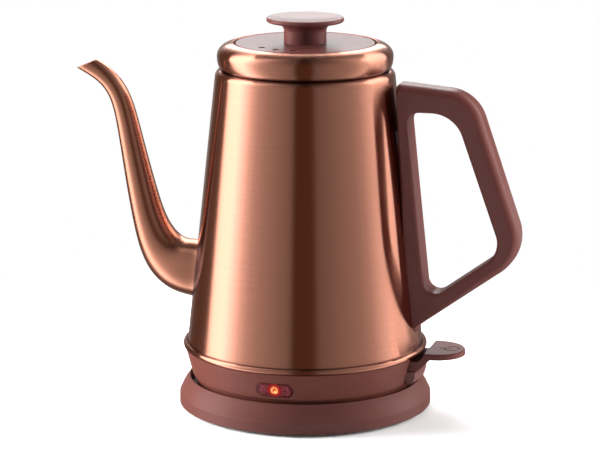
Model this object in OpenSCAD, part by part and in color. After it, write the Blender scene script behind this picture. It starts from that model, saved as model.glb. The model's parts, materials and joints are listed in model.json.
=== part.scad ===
// Electric gooseneck kettle on a lift-off power base.
// Origin: centre of the base on the table. +Z up, the spout points to -X, the handle to +X.
// Four bodies move on their own: power base, kettle, lid and switch lever.

/* [Power base] */
// Radius of the upright band round the base
base_r = 70; // [69:0.1:72]
// Height of the rim above the table
base_h = 18.2; // [18:0.1:18.4]
// Height of the edge where the band turns into the slope
band_h = 7.4; // [6.5:0.1:8.5]
// Outer radius of the rim that the kettle nests in
rim_r = 63.7; // [63.5:0.1:64.2]
// Wall of the base moulding
base_wall = 2.2; // [1.8:0.1:2.6]
// Number of rubber feet in the ring round the middle one
feet = 4; // [3:1:6]

/* [Body] */
// Radius of the metal body at its foot
body_foot_r = 65.4; // [65:0.1:65.8]
// Lean of the flank from upright, in degrees
body_lean = 6.15; // [5.9:0.05:6.4]
// Height of the body's rim above the table
body_rim_z = 188.8; // [187:0.1:188.9]
// Radius of the rounded shoulder under the rim
shoulder_r = 4; // [2.5:0.1:5]
// Radius of the filling mouth
mouth_r = 43.4; // [42.8:0.1:44]
// Sheet thickness of body and spout
sheet = 0.8; // [0.6:0.1:1]

/* [Spout] */
// Height at which the spout leaves the body
spout_z = 73; // [72:0.5:74]
// Slant of the cut across the lip, as height lost per width
lip_slant = 0.8; // [0:0.05:1.1]

/* [Handle] */
// Thickness of the handle across the hand
handle_t = 19; // [17:0.5:22]
// Radius that the palm side is rounded with
palm_r = 7; // [4:0.25:7.5]
// Radius of the edge between the palm side and a face
palm_edge_r = 1.5; // [1:0.25:2.5]
// Edge rounding on the finger side
finger_round = 2.5; // [1.5:0.25:3]

/* [Skirt] */
// Outer radius of the skirt at its top
skirt_top_r = 66.7; // [66.4:0.1:67]
// Lean of the skirt's wall from upright, in degrees
skirt_lean = 15; // [14:0.5:16]
// Length of the lamp window
window_w = 20.5; // [14:0.5:26]
// Height of the lamp window
window_h = 8; // [6:0.5:9]

/* [Switch] */
// Radius of the paddle's round end
paddle_r = 15.6; // [13:0.1:15.6]
// Thickness of the paddle
paddle_t = 3.2; // [2.4:0.1:3.4]
// Radius of the pin that the lever turns on
pin_r = 1.2; // [1:0.05:1.4]
// Radial play between lever and pin
pin_play = 0.05; // [0.02:0.01:0.1]

/* [Lid] */
// Largest radius of the lid ring
lid_r = 48.2; // [47.5:0.1:48.4]
// Height of the lid's top face above the table
lid_top_z = 203.2; // [202.5:0.1:205]
// Radius of the moulded disc in the lid
disc_r = 38.4; // [37.5:0.1:38.6]
// Number of steam vents in the disc
vents = 3; // [1:1:5]
// Radius of the knob's head
knob_r = 21.2; // [16:0.1:24]
// Height of the knob above the lid
knob_h = 14; // [12:0.5:18]

/* [Hidden] */
$fn = 96;

copper = "#b1754f";
brown = "#5c3733";
dark_brown = "#3c2422";
steel = "#b9b9b6";
brass = "#c9a75a";
rubber = "#2b2626";
red = "#b3201d";

// Shared shapes ------------------------------------------------------------

// Points along a circular arc from angle a0 to a1.
function arc(c, r, a0, a1, steps = 8) =
    [for (i = [0:steps]) c + r * [cos(a0 + (a1 - a0) * i / steps), sin(a0 + (a1 - a0) * i / steps)]];

// Points along a stretch of an upright ellipse.
function oval(c, half, a0, a1, steps = 8) =
    [for (i = [0:steps]) let (a = a0 + (a1 - a0) * i / steps) c + [half.x * cos(a), half.y * sin(a)]];

// A list back to front.
function reverse(list) = [for (i = [len(list) - 1:-1:0]) list[i]];

// Angle of a 2D vector.
function heading(v) = atan2(v.y, v.x);

// A closed outline through corners [x, y, radius], each rounded by an arc of equal steps.
function rounded(corners, steps) = [
    for (i = [0:len(corners) - 1])
        let (n = len(corners),
             c = [corners[i].x, corners[i].y],
             to_last = [corners[(i + n - 1) % n].x, corners[(i + n - 1) % n].y] - c,
             to_next = [corners[(i + 1) % n].x, corners[(i + 1) % n].y] - c,
             u = to_last / norm(to_last),
             v = to_next / norm(to_next),
             half = acos(u * v) / 2,
             r = corners[i][2],
             centre = c + (u + v) / norm(u + v) * r / sin(half),
             first = heading(c + u * r / tan(half) - centre),
             turn = (heading(c + v * r / tan(half) - centre) - first + 540) % 360 - 180)
        each [for (k = [0:steps]) centre + r * [cos(first + turn * k / steps),
                                                sin(first + turn * k / steps)]]];

// Catmull-Rom point at t between the middle two of four points.
function spline(a, b, c, d, t) =
    (2 * b + (c - a) * t + (2 * a - 5 * b + 4 * c - d) * t * t
     + (3 * b - a - 3 * c + d) * t * t * t) / 2;

// A smooth curve through all points, with equal steps between each two.
function smooth_path(points, steps) = [
    for (i = [0:len(points) - 2])
        let (last = len(points) - 1,
             before = i > 0 ? points[i - 1] : 2 * points[0] - points[1],
             after = i < last - 1 ? points[i + 2] : 2 * points[last] - points[last - 1])
        each [for (k = [0:steps - 1]) spline(before, points[i], points[i + 1], after, k / steps)],
    points[len(points) - 1]];

// A mesh over rings of equal length. The last ring joins the first.
module ring_mesh(rings) {
    count = len(rings);
    sides = len(rings[0]);
    polyhedron(
        points = [for (ring = rings) each ring],
        faces = [for (i = [0:count - 1], j = [0:sides - 1])
            let (a = i * sides + j,
                 b = i * sides + (j + 1) % sides,
                 c = ((i + 1) % count) * sides + (j + 1) % sides,
                 d = ((i + 1) % count) * sides + j)
            each [[a, b, c], [a, c, d]]],
        convexity = 6);
}

// Copies of the children on a circle, the first at angle start.
module around(count, radius, start = 0) {
    for (i = [0:count - 1])
        rotate([0, 0, start + 360 * i / count]) translate([radius, 0, 0]) children();
}

// A round tube or ring.
module pipe(r_out, r_in, z0, z1) {
    translate([0, 0, z0])
        difference() {
            cylinder(r = r_out, h = z1 - z0);
            translate([0, 0, -1]) cylinder(r = r_in, h = z1 - z0 + 2);
        }
}

// A pan-head screw along +Z with its head's underside at z = 0.
module pan_screw(shank_r, shank_l, head_r, head_h) {
    difference() {
        rotate_extrude()
            polygon([[0, -head_h], [head_r * 0.7, -head_h], [head_r, -head_h * 0.5], [head_r, 0],
                     [shank_r, 0], [shank_r, shank_l - shank_r], [shank_r * 0.3, shank_l],
                     [0, shank_l]]);
        for (a = [0, 90])
            rotate([0, 0, a])
                translate([-head_r * 0.5, -head_r * 0.1, -head_h - 1])
                    cube([head_r, head_r * 0.2, 1 + head_h * 0.6]);
    }
}

// Power base ---------------------------------------------------------------

base_foot_z = 0.9;
plate_t = 2;
foot_r = 5.5;
foot_ring_r = 54;
recess_z = 11.2;
recess_r = rim_r - 0.7;
tower_r = 15;
tower_z = 23;
slot_out_r = 12.8;
slot_in_r = 9.4;
socket_r = 4;
base_screws_n = 4;
base_screw_ring_r = 56.5;
gland_z = 6;
gland_r = 4.6;
cord_r = 3.3;
gland_y = 62;
rib_t = 1.6;
rib_in_r = 30;
rib_l = 28;
drain_in_r = 22;
drain_l = 10;
drain_w = 1.6;

// Outline of the slope from the band's edge to the rim, bulging slightly.
slope_bulge_r = 28;
slope_foot = [base_r - 0.1, band_h + 0.2];
slope_head = [rim_r, base_h];
slope_mid = (slope_foot + slope_head) / 2;
slope_half = norm(slope_head - slope_foot) / 2;
slope_dir = (slope_head - slope_foot) / (2 * slope_half);
slope_centre = slope_mid - [slope_dir.y, -slope_dir.x] * sqrt(pow(slope_bulge_r, 2) - pow(slope_half, 2));
slope_line = arc(slope_centre, slope_bulge_r, heading(slope_foot - slope_centre),
                 heading(slope_head - slope_centre), 6);

module base_housing() {
    color(brown)
    difference() {
        union() {
            rotate_extrude()
                polygon(concat(
                    [[base_r - 0.8, base_foot_z], [base_r, base_foot_z + 0.8], [base_r, band_h]],
                    slope_line,
                    [[recess_r, base_h], [recess_r - 0.4, recess_z],
                     [tower_r + 0.3, recess_z], [tower_r + 0.3, recess_z - base_wall],
                     [recess_r - 1, recess_z - base_wall],
                     [base_r - base_wall - 0.4, band_h - 0.5],
                     [base_r - base_wall, base_foot_z]]));
            around(base_screws_n, base_screw_ring_r, 30)
                translate([0, 0, base_foot_z + plate_t])
                    cylinder(r = 4, h = recess_z - 1 - base_foot_z - plate_t);
            for (a = [0:30:330])
                rotate([0, 0, a + 15])
                    translate([rib_in_r, -rib_t / 2, base_foot_z + plate_t + 2.5])
                        cube([rib_l, rib_t, recess_z - 1 - base_foot_z - plate_t - 2.5]);
        }
        around(base_screws_n, base_screw_ring_r, 30)
            cylinder(r = 1.5, h = recess_z - 1.5);
        translate([0, gland_y - 4, gland_z]) rotate([-90, 0, 0]) cylinder(r = gland_r + 0.05, h = 20);
    }
}

module base_plate() {
    color(dark_brown)
    difference() {
        translate([0, 0, base_foot_z]) cylinder(r = base_r - base_wall - 0.2, h = plate_t);
        around(base_screws_n, base_screw_ring_r, 30) {
            cylinder(r = 1.8, h = 10);
            cylinder(r = 3.8, h = base_foot_z + 1);
        }
        foot_places() cylinder(r = foot_r + 0.05, h = base_foot_z + 0.8);
        translate([0, gland_y - 4, gland_z]) rotate([-90, 0, 0]) cylinder(r = gland_r + 0.05, h = 20);
        // Slots that let spilt water out
        for (a = [0:20:340])
            rotate([0, 0, a])
                translate([drain_in_r, -drain_w / 2, 0]) cube([drain_l, drain_w, 10]);
    }
}

module base_connector() {
    color(dark_brown)
    difference() {
        union() {
            translate([0, 0, recess_z - base_wall])
                cylinder(r = tower_r, h = tower_z - recess_z + base_wall - 1);
            translate([0, 0, tower_z - 1]) cylinder(r1 = tower_r, r2 = tower_r - 0.8, h = 1);
            translate([0, 0, base_foot_z + plate_t + 0.1])
                cylinder(r = 20, h = recess_z - base_wall - base_foot_z - plate_t - 0.1);
        }
        pipe(slot_out_r, slot_in_r, 13, tower_z + 1);
        translate([0, 0, 12]) cylinder(r = socket_r, h = 20);
    }
}

module base_contacts() {
    color(brass) {
        pipe(slot_in_r + 0.5, slot_in_r, 13.1, tower_z - 1.5);
        pipe(socket_r, socket_r - 0.5, 12.1, tower_z - 2.5);
    }
}

// The ring of feet, and one in the middle that takes the push on the connector.
module foot_places() {
    children();
    around(feet, foot_ring_r, 45) children();
}

module base_feet() {
    color(rubber)
    foot_places() {
        cylinder(r1 = foot_r - 0.5, r2 = foot_r, h = 0.5);
        translate([0, 0, 0.5]) cylinder(r = foot_r, h = base_foot_z + 0.3);
    }
}

module base_screws() {
    color(steel)
    around(base_screws_n, base_screw_ring_r, 30)
        translate([0, 0, base_foot_z + 1]) pan_screw(1.45, 7, 3, 0.8);
}

module cord_gland() {
    color(rubber)
    translate([0, gland_y, gland_z])
        rotate([-90, 0, 0])
            difference() {
                union() {
                    cylinder(r = gland_r, h = base_r - gland_y + 1.5);
                    translate([0, 0, base_r - gland_y + 1.5])
                        cylinder(r1 = gland_r, r2 = gland_r - 0.8, h = 1);
                    translate([0, 0, -1.5]) cylinder(r = gland_r - 0.8, h = 1.5);
                }
                translate([0, 0, -2]) cylinder(r = cord_r, h = 20);
            }
}

// Kettle: metal ------------------------------------------------------------

body_foot_z = 36.2;
body_hem = 3;

// Radius of the body's flank at a height.
function flank_r(z) = body_foot_r - (z - body_foot_z) * tan(body_lean);

// Outline of the body sheet at a depth under its outer face, from foot to hem.
function shell_line(depth) =
    let (cz = body_rim_z - shoulder_r,
         centre = [flank_r(cz) - shoulder_r / cos(body_lean), cz])
    concat([[flank_r(body_foot_z) - depth / cos(body_lean), body_foot_z]],
           arc(centre, shoulder_r - depth, body_lean, 90),
           [[mouth_r + depth, body_rim_z - depth], [mouth_r + depth, body_rim_z - body_hem]]);

spout_port_r = 13.5;
steam_tube_r = 4;
steam_tube_foot = [50, 0, 34];
steam_tube_l = 142;

// Centre line of the spout as [x, z, outer radius], from the body to the lip.
spout_line = [[-62, spout_z, 16], [-69, spout_z + 0.5, 15.4], [-82.5, 82.5, 12.5],
              [-89.5, 97, 9.6], [-95.5, 121, 8], [-100, 142.5, 6.8], [-105, 165, 5.8],
              [-109.5, 175, 5.4], [-117, 182, 5.1], [-125.5, 186.2, 5]];
spout_sides = 22;
spout_steps = 4;
spout_path = smooth_path(spout_line, spout_steps);

// One ring of the spout: a circle across the centre line. The first lies on the flank and the
// last on the slanted cut.
function spout_ring(i, depth) =
    let (last = len(spout_path) - 1,
         here = spout_path[i],
         ahead = spout_path[min(i + 1, last)] - spout_path[max(i - 1, 0)],
         dir = [ahead.x, ahead.y] / norm([ahead.x, ahead.y]),
         r = here[2] - depth,
         cut = i == last ? lip_slant : i == last - 1 ? lip_slant / 2 : 0)
    [for (j = [0:spout_sides - 1])
        let (a = 360 * j / spout_sides,
             side = r * sin(a),
             rise = r * cos(a),
             x = here.x + dir.y * rise - dir.x * cut * rise,
             z = here.y - dir.x * rise - dir.y * cut * rise)
        i > 0 ? [x, side, z] : [-sqrt(pow(flank_r(z) + 0.06, 2) - side * side), side, z]];

module body_shell() {
    color(copper)
    difference() {
        rotate_extrude() polygon(concat(shell_line(0), reverse(shell_line(sheet))));
        translate([-flank_r(spout_z), 0, spout_z])
            rotate([0, -90, 0]) cylinder(r = spout_port_r, h = 20, center = true);
    }
}

module spout() {
    last = len(spout_path) - 1;
    color(copper)
    ring_mesh(concat([for (i = [0:last]) spout_ring(i, 0)],
                     [for (i = [last:-1:0]) spout_ring(i, sheet)]));
}

trim_r = 1.7;
trim_z = 35.2;
trim_ring_r = 66.1;

module trim_ring() {
    color(copper)
    rotate_extrude()
        difference() {
            translate([trim_ring_r, trim_z]) circle(r = trim_r);
            translate([60, body_foot_z - 0.05]) square([body_foot_r - 60 + 0.05, 5]);
        }
}

floor_z = 38;
floor_r = 64.3;

module floor_plate() {
    color(steel)
    difference() {
        union() {
            translate([0, 0, floor_z]) cylinder(r = floor_r, h = sheet);
            pipe(floor_r, floor_r - sheet, trim_z - 0.7, floor_z + sheet);
        }
        steam_bore(steam_tube_r + 0.05);
    }
}

// The slanted line of the steam tube as a cutting tool.
module steam_bore(r) {
    translate(steam_tube_foot) rotate([0, -body_lean, 0]) cylinder(r = r, h = steam_tube_l);
}

module steam_tube() {
    color(steel)
    difference() {
        steam_bore(steam_tube_r);
        translate(steam_tube_foot)
            rotate([0, -body_lean, 0])
                translate([0, 0, -1]) cylinder(r = steam_tube_r - 0.6, h = steam_tube_l + 2);
    }
}

element_ring_r = 36;
element_r = 3.2;
element_z = 34;
spreader_t = 2.8;
spreader_r = 58;

module heat_spreader() {
    color("#9a9ea3")
    difference() {
        translate([0, 0, floor_z - spreader_t]) cylinder(r = spreader_r, h = spreader_t);
        translate([0, 0, element_z])
            rotate_extrude() translate([element_ring_r, 0]) circle(r = element_r + 0.05);
        steam_bore(steam_tube_r + 0.3);
    }
}

module heating_element() {
    color(steel)
    translate([0, 0, element_z]) {
        rotate([0, 0, 120]) rotate_extrude(angle = 300) translate([element_ring_r, 0]) circle(r = element_r);
        for (a = [126, 54])
            rotate([0, 0, a]) translate([element_ring_r, 0, -9]) cylinder(r = 1.6, h = 9);
    }
}

// Kettle: skirt and control ------------------------------------------------

skirt_top_z = 33.4;
skirt_foot_z = 11.6;
skirt_wall = 2;
skirt_floor_t = 2;
control_r = 26;
post_ring_r = 52;
post_screw_r = 1.75;
window_z = 24.2;
slot_half = 17.9;
slot_z0 = 19.8;

// Outer radius of the skirt at a height.
function skirt_r(z) = skirt_top_r - (skirt_top_z - z) * tan(skirt_lean);

// A pill-shaped bar along -Y.
module pill(w, h, y0, y1) {
    translate([0, -y1, window_z])
        rotate([-90, 0, 0])
            linear_extrude(y1 - y0) {
                square([w - h, h], center = true);
                for (side = [-1, 1]) translate([side * (w - h) / 2, 0]) circle(d = h);
            }
}

// A band of the skirt's wall between two depths under its outer face.
module skirt_band(depth0, depth1, z0, z1) {
    rotate_extrude()
        polygon([[skirt_r(z0) - depth1, z0], [skirt_r(z0) - depth0, z0],
                 [skirt_r(z1) - depth0, z1], [skirt_r(z1) - depth1, z1]]);
}

module kettle_skirt() {
    color(brown)
    difference() {
        union() {
            skirt_band(0, skirt_wall, skirt_foot_z, skirt_top_z);
            pipe(skirt_r(skirt_foot_z) - 1, control_r + 0.2, skirt_foot_z, skirt_foot_z + skirt_floor_t);
            around(3, post_ring_r, 60) translate([0, 0, skirt_foot_z]) cylinder(r = 5, h = 6.5);
        }
        pill(window_w, window_h, 50, 75);
        translate([50, -slot_half, slot_z0]) cube([30, 2 * slot_half, 20]);
        around(3, post_ring_r, 60) {
            cylinder(r = 2, h = 30);
            cylinder(r = 3.9, h = skirt_foot_z + 3.5);
        }
    }
}

cavity_r = tower_r + 0.6;
cavity_z = 25;
control_top_z = 35;
blade_out_r = 11.7;
blade_in_r = 10.5;
blade_foot_z = 14.5;
centre_pin_r = 2.6;
contact_play = 0.05;

module kettle_control() {
    color(dark_brown)
    difference() {
        union() {
            translate([0, 0, skirt_foot_z + 0.4])
                cylinder(r = control_r, h = control_top_z - skirt_foot_z - 0.4);
            pipe(control_r + 4, control_r - 1, skirt_foot_z + skirt_floor_t + 0.1,
                 skirt_foot_z + skirt_floor_t + 2);
        }
        translate([0, 0, skirt_foot_z - 1]) cylinder(r = cavity_r, h = cavity_z - skirt_foot_z + 1);
        translate([0, 0, skirt_foot_z - 1]) cylinder(r1 = cavity_r + 4.2, r2 = cavity_r, h = 4);
        pipe(blade_out_r + contact_play, blade_in_r - contact_play, cavity_z - 1, cavity_z + 4);
        cylinder(r = centre_pin_r + contact_play, h = cavity_z + 4);
        for (side = [-1, 1])
            translate([side * 14, 0, cavity_z + 4]) cylinder(r = 6.5, h = 20);
    }
}

module kettle_contacts() {
    color(brass) {
        pipe(blade_out_r, blade_in_r, blade_foot_z, cavity_z + 3.9);
        translate([0, 0, blade_foot_z + 1]) cylinder(r = centre_pin_r, h = cavity_z + 2.9 - blade_foot_z);
        translate([0, 0, blade_foot_z]) cylinder(r1 = centre_pin_r - 1, r2 = centre_pin_r, h = 1);
    }
}

module mount_posts() {
    color(steel)
    around(3, post_ring_r, 60)
        pipe(3, post_screw_r + 0.05, 19, floor_z - spreader_t - 0.05);
}

module skirt_screws() {
    color(steel)
    around(3, post_ring_r, 60)
        translate([0, 0, skirt_foot_z + 3.4]) pan_screw(post_screw_r, 16, 3.6, 2);
}

// Kettle: lamp -------------------------------------------------------------

lamp_r = 3;
lamp_dome_r = 4.2;
lamp_dome_in = 2.4;
lens_proud = 0.25;
lens_gap = 0.1;

module lamp_lens() {
    color(red) {
        difference() {
            union() {
                intersection() {
                    skirt_band(-lens_proud, skirt_wall, skirt_foot_z, skirt_top_z);
                    pill(window_w - 2 * lens_gap, window_h - 2 * lens_gap, 50, 75);
                }
                intersection() {
                    translate([0, lamp_dome_in - skirt_r(window_z), window_z]) sphere(r = lamp_dome_r);
                    pill(window_w - 2 * lens_gap, window_h - 2 * lens_gap, 60, 75);
                }
            }
            // The dome's hollow
            translate([0, lamp_dome_in + 0.6 - skirt_r(window_z), window_z]) sphere(r = lamp_dome_r - 1);
        }
    }
}

module lamp_bulb() {
    tip = skirt_r(window_z) - 6.5;
    color("#ff8a3c")
    translate([0, -tip, window_z]) {
        sphere(r = lamp_r);
        rotate([-90, 0, 0]) cylinder(r = lamp_r, h = 9);
    }
}

module lamp_holder() {
    y = skirt_r(window_z) - 12;
    color(dark_brown)
    difference() {
        translate([-9, -y, skirt_foot_z + skirt_floor_t])
            cube([18, 5, window_z - skirt_foot_z - skirt_floor_t + 5]);
        translate([0, -y - 5, window_z]) rotate([-90, 0, 0]) cylinder(r = lamp_r + 0.05, h = 20);
    }
}

// Kettle: switch mechanism -------------------------------------------------

pivot = [59, 0, 29];
lever_half = 15.5;
barrel_r = 2.6;
ear_t = 1.6;
ear_y = lever_half + 0.5;
pod_top_z = 25.6;
lever_block_z0 = 26.2;
lever_block_z1 = 31.6;
paddle_top_z = 36.4;
paddle_in_x = 71.3;
paddle_c_x = 75.2;
housing_x = 40.5;
snap_disc_z = 24;
snap_disc_r = 7.4;

module switch_housing() {
    color("#6b4341")
    difference() {
        union() {
            // Rounded front that fills the slot under the lever
            intersection() {
                rotate_extrude()
                    polygon([[56, 20.1], [skirt_r(20.1) + 0.4, 20.1], [skirt_r(18.9) + 0.3, 18.9],
                             [65.9, 18.9], [67.2, 20], [67.9, 22.6], [68, pod_top_z - 0.6],
                             [67.4, pod_top_z], [56, pod_top_z]]);
                translate([40, -lever_half, 10]) cube([40, 2 * lever_half, 30]);
            }
            // Tray behind it, with an ear at each end for the pin
            translate([housing_x, -ear_y - ear_t, skirt_foot_z + skirt_floor_t + 0.1])
                cube([56.2 - housing_x, 2 * (ear_y + ear_t), 18]);
            for (side = [-1, 1])
                translate([55, side > 0 ? ear_y : -ear_y - ear_t, 20.2])
                    cube([pivot.x - 55, ear_t, 11.4]);
            for (side = [-1, 1])
                translate([pivot.x, side > 0 ? ear_y + ear_t : -ear_y, pivot.z])
                    rotate([90, 0, 0]) cylinder(r = barrel_r, h = ear_t);
        }
        // Room for the lever's inner finger
        translate([housing_x + 9, -ear_y, pod_top_z]) cube([30, 2 * ear_y, 20]);
        translate([pivot.x, 30, pivot.z]) rotate([90, 0, 0]) cylinder(r = pin_r, h = 60);
        // Seat of the snap disc, fed by the steam tube
        translate([housing_x - 1, 0, snap_disc_z])
            rotate([0, 90, 0]) cylinder(r = snap_disc_r + 0.6, h = 4);
    }
}

module snap_disc() {
    color(steel)
    translate([housing_x + 1.6, 0, snap_disc_z]) rotate([0, 90, 0]) cylinder(r = snap_disc_r, h = 0.5);
}

module switch_pin() {
    color(steel)
    translate([pivot.x, ear_y + ear_t, pivot.z])
        rotate([90, 0, 0]) cylinder(r = pin_r, h = 2 * (ear_y + ear_t));
}

module switch_lever() {
    color(brown)
    difference() {
        union() {
            // Barrel on the pin, and the finger that works the control
            translate([pivot.x, lever_half, pivot.z])
                rotate([90, 0, 0]) cylinder(r = barrel_r, h = 2 * lever_half);
            translate([pivot.x - 9, -4, pivot.z - 1]) cube([9, 8, 2]);
            // Block in the slot and the arm that rises from it
            translate([0, lever_half, 0])
                rotate([90, 0, 0])
                    linear_extrude(2 * lever_half)
                        polygon([[pivot.x, lever_block_z0 + 0.3], [62, lever_block_z0], [66.8, lever_block_z0],
                                 [68.3, lever_block_z0 + 1.2], [71.4, 30.2], [74.5, paddle_top_z - paddle_t],
                                 [76, paddle_top_z - paddle_t + 0.4], [75, paddle_top_z - 0.4],
                                 [paddle_in_x + 0.8, paddle_top_z - 0.2], [paddle_in_x, paddle_top_z - 0.8],
                                 [68.9, lever_block_z1 + 0.9], [67.6, lever_block_z1],
                                 [pivot.x, lever_block_z1]]);
            paddle();
        }
        translate([pivot.x, 30, pivot.z]) rotate([90, 0, 0]) cylinder(r = pin_r + pin_play, h = 60);
        power_mark();
    }
}

mark_x = 83.5;
mark_r = 4.2;
mark_line_l = 7;
mark_w = 0.8;
mark_depth = 0.4;

// The usual sign of a power switch, a broken ring and a line, sunk in the finger plate.
module power_mark() {
    translate([mark_x, 0, paddle_top_z - mark_depth]) {
        rotate([0, 0, -165])
            rotate_extrude(angle = 300) translate([mark_r - mark_w / 2, 0]) square([mark_w, 1]);
        translate([-mark_line_l, -mark_w / 2, 0]) cube([mark_line_l, mark_w, 1]);
    }
}

// The finger plate: straight on the kettle's side, half round outside, with eased edges.
module paddle() {
    ease = 0.6;
    for (layer = [[paddle_top_z - paddle_t, paddle_t - ease, 0], [paddle_top_z - ease, ease, ease]])
        translate([0, 0, layer[0]])
            linear_extrude(layer[1])
                intersection() {
                    union() {
                        translate([paddle_c_x, 0]) circle(r = paddle_r - layer[2]);
                        translate([paddle_in_x, layer[2] - paddle_r])
                            square([paddle_c_x - paddle_in_x, 2 * (paddle_r - layer[2])]);
                    }
                    translate([paddle_in_x, -20]) square([40, 40]);
                }
}

// Handle -------------------------------------------------------------------

// Corners [x, z, radius] of the palm side, and those of the finger hole in the same order.
palm_corners = [[52, 183.8, 3], [95.3, 180.1, 22], [125.5, 92.8, 24], [57, 43, 3]];
hole_corners = [[58.8, 168.4, 6], [84.9, 168.4, 18], [111.6, 93.7, 13], [70, 63.6, 6.5]];
corner_steps = 12;
edge_steps = 4;
side_gap = 0.06;

// Points round a closed outline with each straight stretch cut into equal parts.
function with_edges(outline) = [
    for (i = [0:len(outline) - 1])
        let (next = outline[(i + 1) % len(outline)],
             straight = i % (corner_steps + 1) == corner_steps)
        each straight
            ? [for (k = [0:edge_steps - 1]) outline[i] + (next - outline[i]) * k / edge_steps]
            : [outline[i]]];

palm_line = with_edges(rounded(palm_corners, corner_steps));
hole_line = with_edges(rounded(hole_corners, corner_steps));

// How far the faces fall from the middle of the bar to the finger hole.
facet_drop = 0.7;

// How far the palm side's rounding turns before the edge to the face takes over.
palm_turn = 54;

// Section of the bar as [distance in from the palm side, half width], palm to finger side.
function bar_section(width) =
    let (h = handle_t / 2,
         low = h - facet_drop,
         palm_flat = h - palm_edge_r * (1 - sin(palm_turn)) - palm_r * sin(palm_turn),
         edge_x = palm_r + (palm_edge_r - palm_r) * cos(palm_turn))
    concat([[0, 0]],
           [for (a = [0:18:palm_turn]) [palm_r * (1 - cos(a)), palm_flat + palm_r * sin(a)]],
           [for (a = [palm_turn + 18:18:90]) [edge_x - palm_edge_r * cos(a), h - palm_edge_r * (1 - sin(a))]],
           [[width / 2, h]],
           [for (a = [90:-22.5:0]) [width - finger_round * (1 - cos(a)), low - finger_round * (1 - sin(a))]],
           [[width, 0]]);

// A ring round the bar, from the front face to the back face. No point reaches into the body.
function bar_ring(i) =
    let (across = hole_line[i] - palm_line[i],
         width = norm(across),
         front = bar_section(width),
         back = [for (i = [len(front) - 2:-1:1]) [front[i].x, -front[i].y]])
    [for (p = concat(front, back))
        let (at = palm_line[i] + across * p.x / width,
             flank = sqrt(pow(flank_r(at.y) + side_gap, 2) - p.y * p.y))
        [max(at.x, flank), p.y, at.y]];

module handle() {
    color(brown)
    difference() {
        ring_mesh([for (i = [0:len(palm_line) - 1]) bar_ring(i)]);
        // Pockets for the hook and the anchor that are welded to the body
        handle_pocket(hook_z, 0.2);
        handle_pocket(anchor_z, 0.2);
        handle_screw_line(1.9, 32);
        handle_screw_line(3.8, 6);
    }
}

hook_z = 150;
anchor_z = 72;
hook_size = [5.5, 10, 14];
anchor_screw = [67.8, 0, 55];
anchor_screw_l = 18;

module handle_pocket(z, gap) {
    translate([flank_r(z) - 4, -hook_size.y / 2 - gap, z - hook_size.z / 2 - gap])
        cube([4 + hook_size.x + gap, hook_size.y + 2 * gap, hook_size.z + 2 * gap]);
}

// The line of the lower screw, which runs up beside the flank.
module handle_screw_line(r, l) {
    translate(anchor_screw) rotate([0, -body_lean, 0]) translate([0, 0, -6]) cylinder(r = r, h = l);
}

// A folded clip: a foot on the body's flank and a tongue that the handle hooks over.
module body_clip(z) {
    intersection() {
        handle_pocket(z, 0);
        difference() {
            translate([0, 0, z - 30]) cylinder(r = 90, h = 60);
            translate([0, 0, body_foot_z])
                cylinder(r1 = body_foot_r + 0.05, r2 = body_foot_r + 0.05 - 150 * tan(body_lean), h = 150);
        }
    }
}

module handle_hook() {
    color(steel)
    difference() {
        body_clip(hook_z);
        translate([flank_r(hook_z) + 1.8, -10, hook_z - hook_size.z / 2 + 2]) cube([1.8, 20, 30]);
    }
}

module handle_anchor() {
    color(steel)
    difference() {
        body_clip(anchor_z);
        handle_screw_line(1.5, 60);
    }
}

module handle_screw() {
    color(steel)
    translate(anchor_screw) rotate([0, -body_lean, 0]) pan_screw(1.45, anchor_screw_l + 6, 3.2, 2);
}

// Lid ----------------------------------------------------------------------

lid_foot_z = 189.2;
lid_foot_r = 45.8;
lid_bulge_z = 196.2;
lid_wall = 0.8;
// Width of the ledges that the disc sits on and the pan is held by
lid_lip = 2;
ledge_z = lid_top_z - 3.2;
groove_r = disc_r + 0.5;
vent_r = 1.75;
vent_ring_r = 29.2;
vent_middle = -108;
vent_step = 20;
knob_screw_r = 1.45;
liner_z = 178.5;

module lid_ring() {
    color(copper)
    rotate_extrude()
        polygon(concat(
            [[lid_foot_r - lid_lip, lid_foot_z]],
            oval([lid_foot_r, lid_bulge_z], [lid_r - lid_foot_r, lid_bulge_z - lid_foot_z], -90, 0),
            oval([groove_r, lid_bulge_z], [lid_r - groove_r, lid_top_z - lid_bulge_z], 10, 90),
            [[groove_r, ledge_z], [groove_r - lid_lip, ledge_z], [groove_r - lid_lip, ledge_z - lid_wall],
             [groove_r + lid_wall, ledge_z - lid_wall]],
            oval([groove_r, lid_bulge_z],
                 [lid_r - groove_r - lid_wall, lid_top_z - lid_bulge_z - lid_wall], 84, 0),
            oval([lid_foot_r, lid_bulge_z],
                 [lid_r - lid_foot_r - lid_wall, lid_bulge_z - lid_foot_z - lid_wall], 0, -90),
            [[lid_foot_r - lid_lip, lid_foot_z + lid_wall]]));
}

module lid_disc() {
    color(brown)
    difference() {
        union() {
            translate([0, 0, ledge_z + 0.1]) cylinder(r = disc_r, h = lid_top_z - ledge_z - 0.6);
            translate([0, 0, lid_top_z - 0.5]) cylinder(r1 = disc_r, r2 = disc_r - 0.5, h = 0.5);
            pipe(34, 32.4, liner_z + sheet + 0.1, ledge_z + 0.2);
        }
        for (i = [0:vents - 1])
            rotate([0, 0, vent_middle + vent_step * (i - (vents - 1) / 2)])
                translate([vent_ring_r, 0, liner_z]) cylinder(r = vent_r, h = 40);
        translate([0, 0, ledge_z - 10]) cylinder(r = knob_screw_r + 0.15, h = 30);
    }
}

neck_r = 11.6;
neck_h = 6.5;
knob_rim = 2.7;
knob_dish = 1.2;

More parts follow.
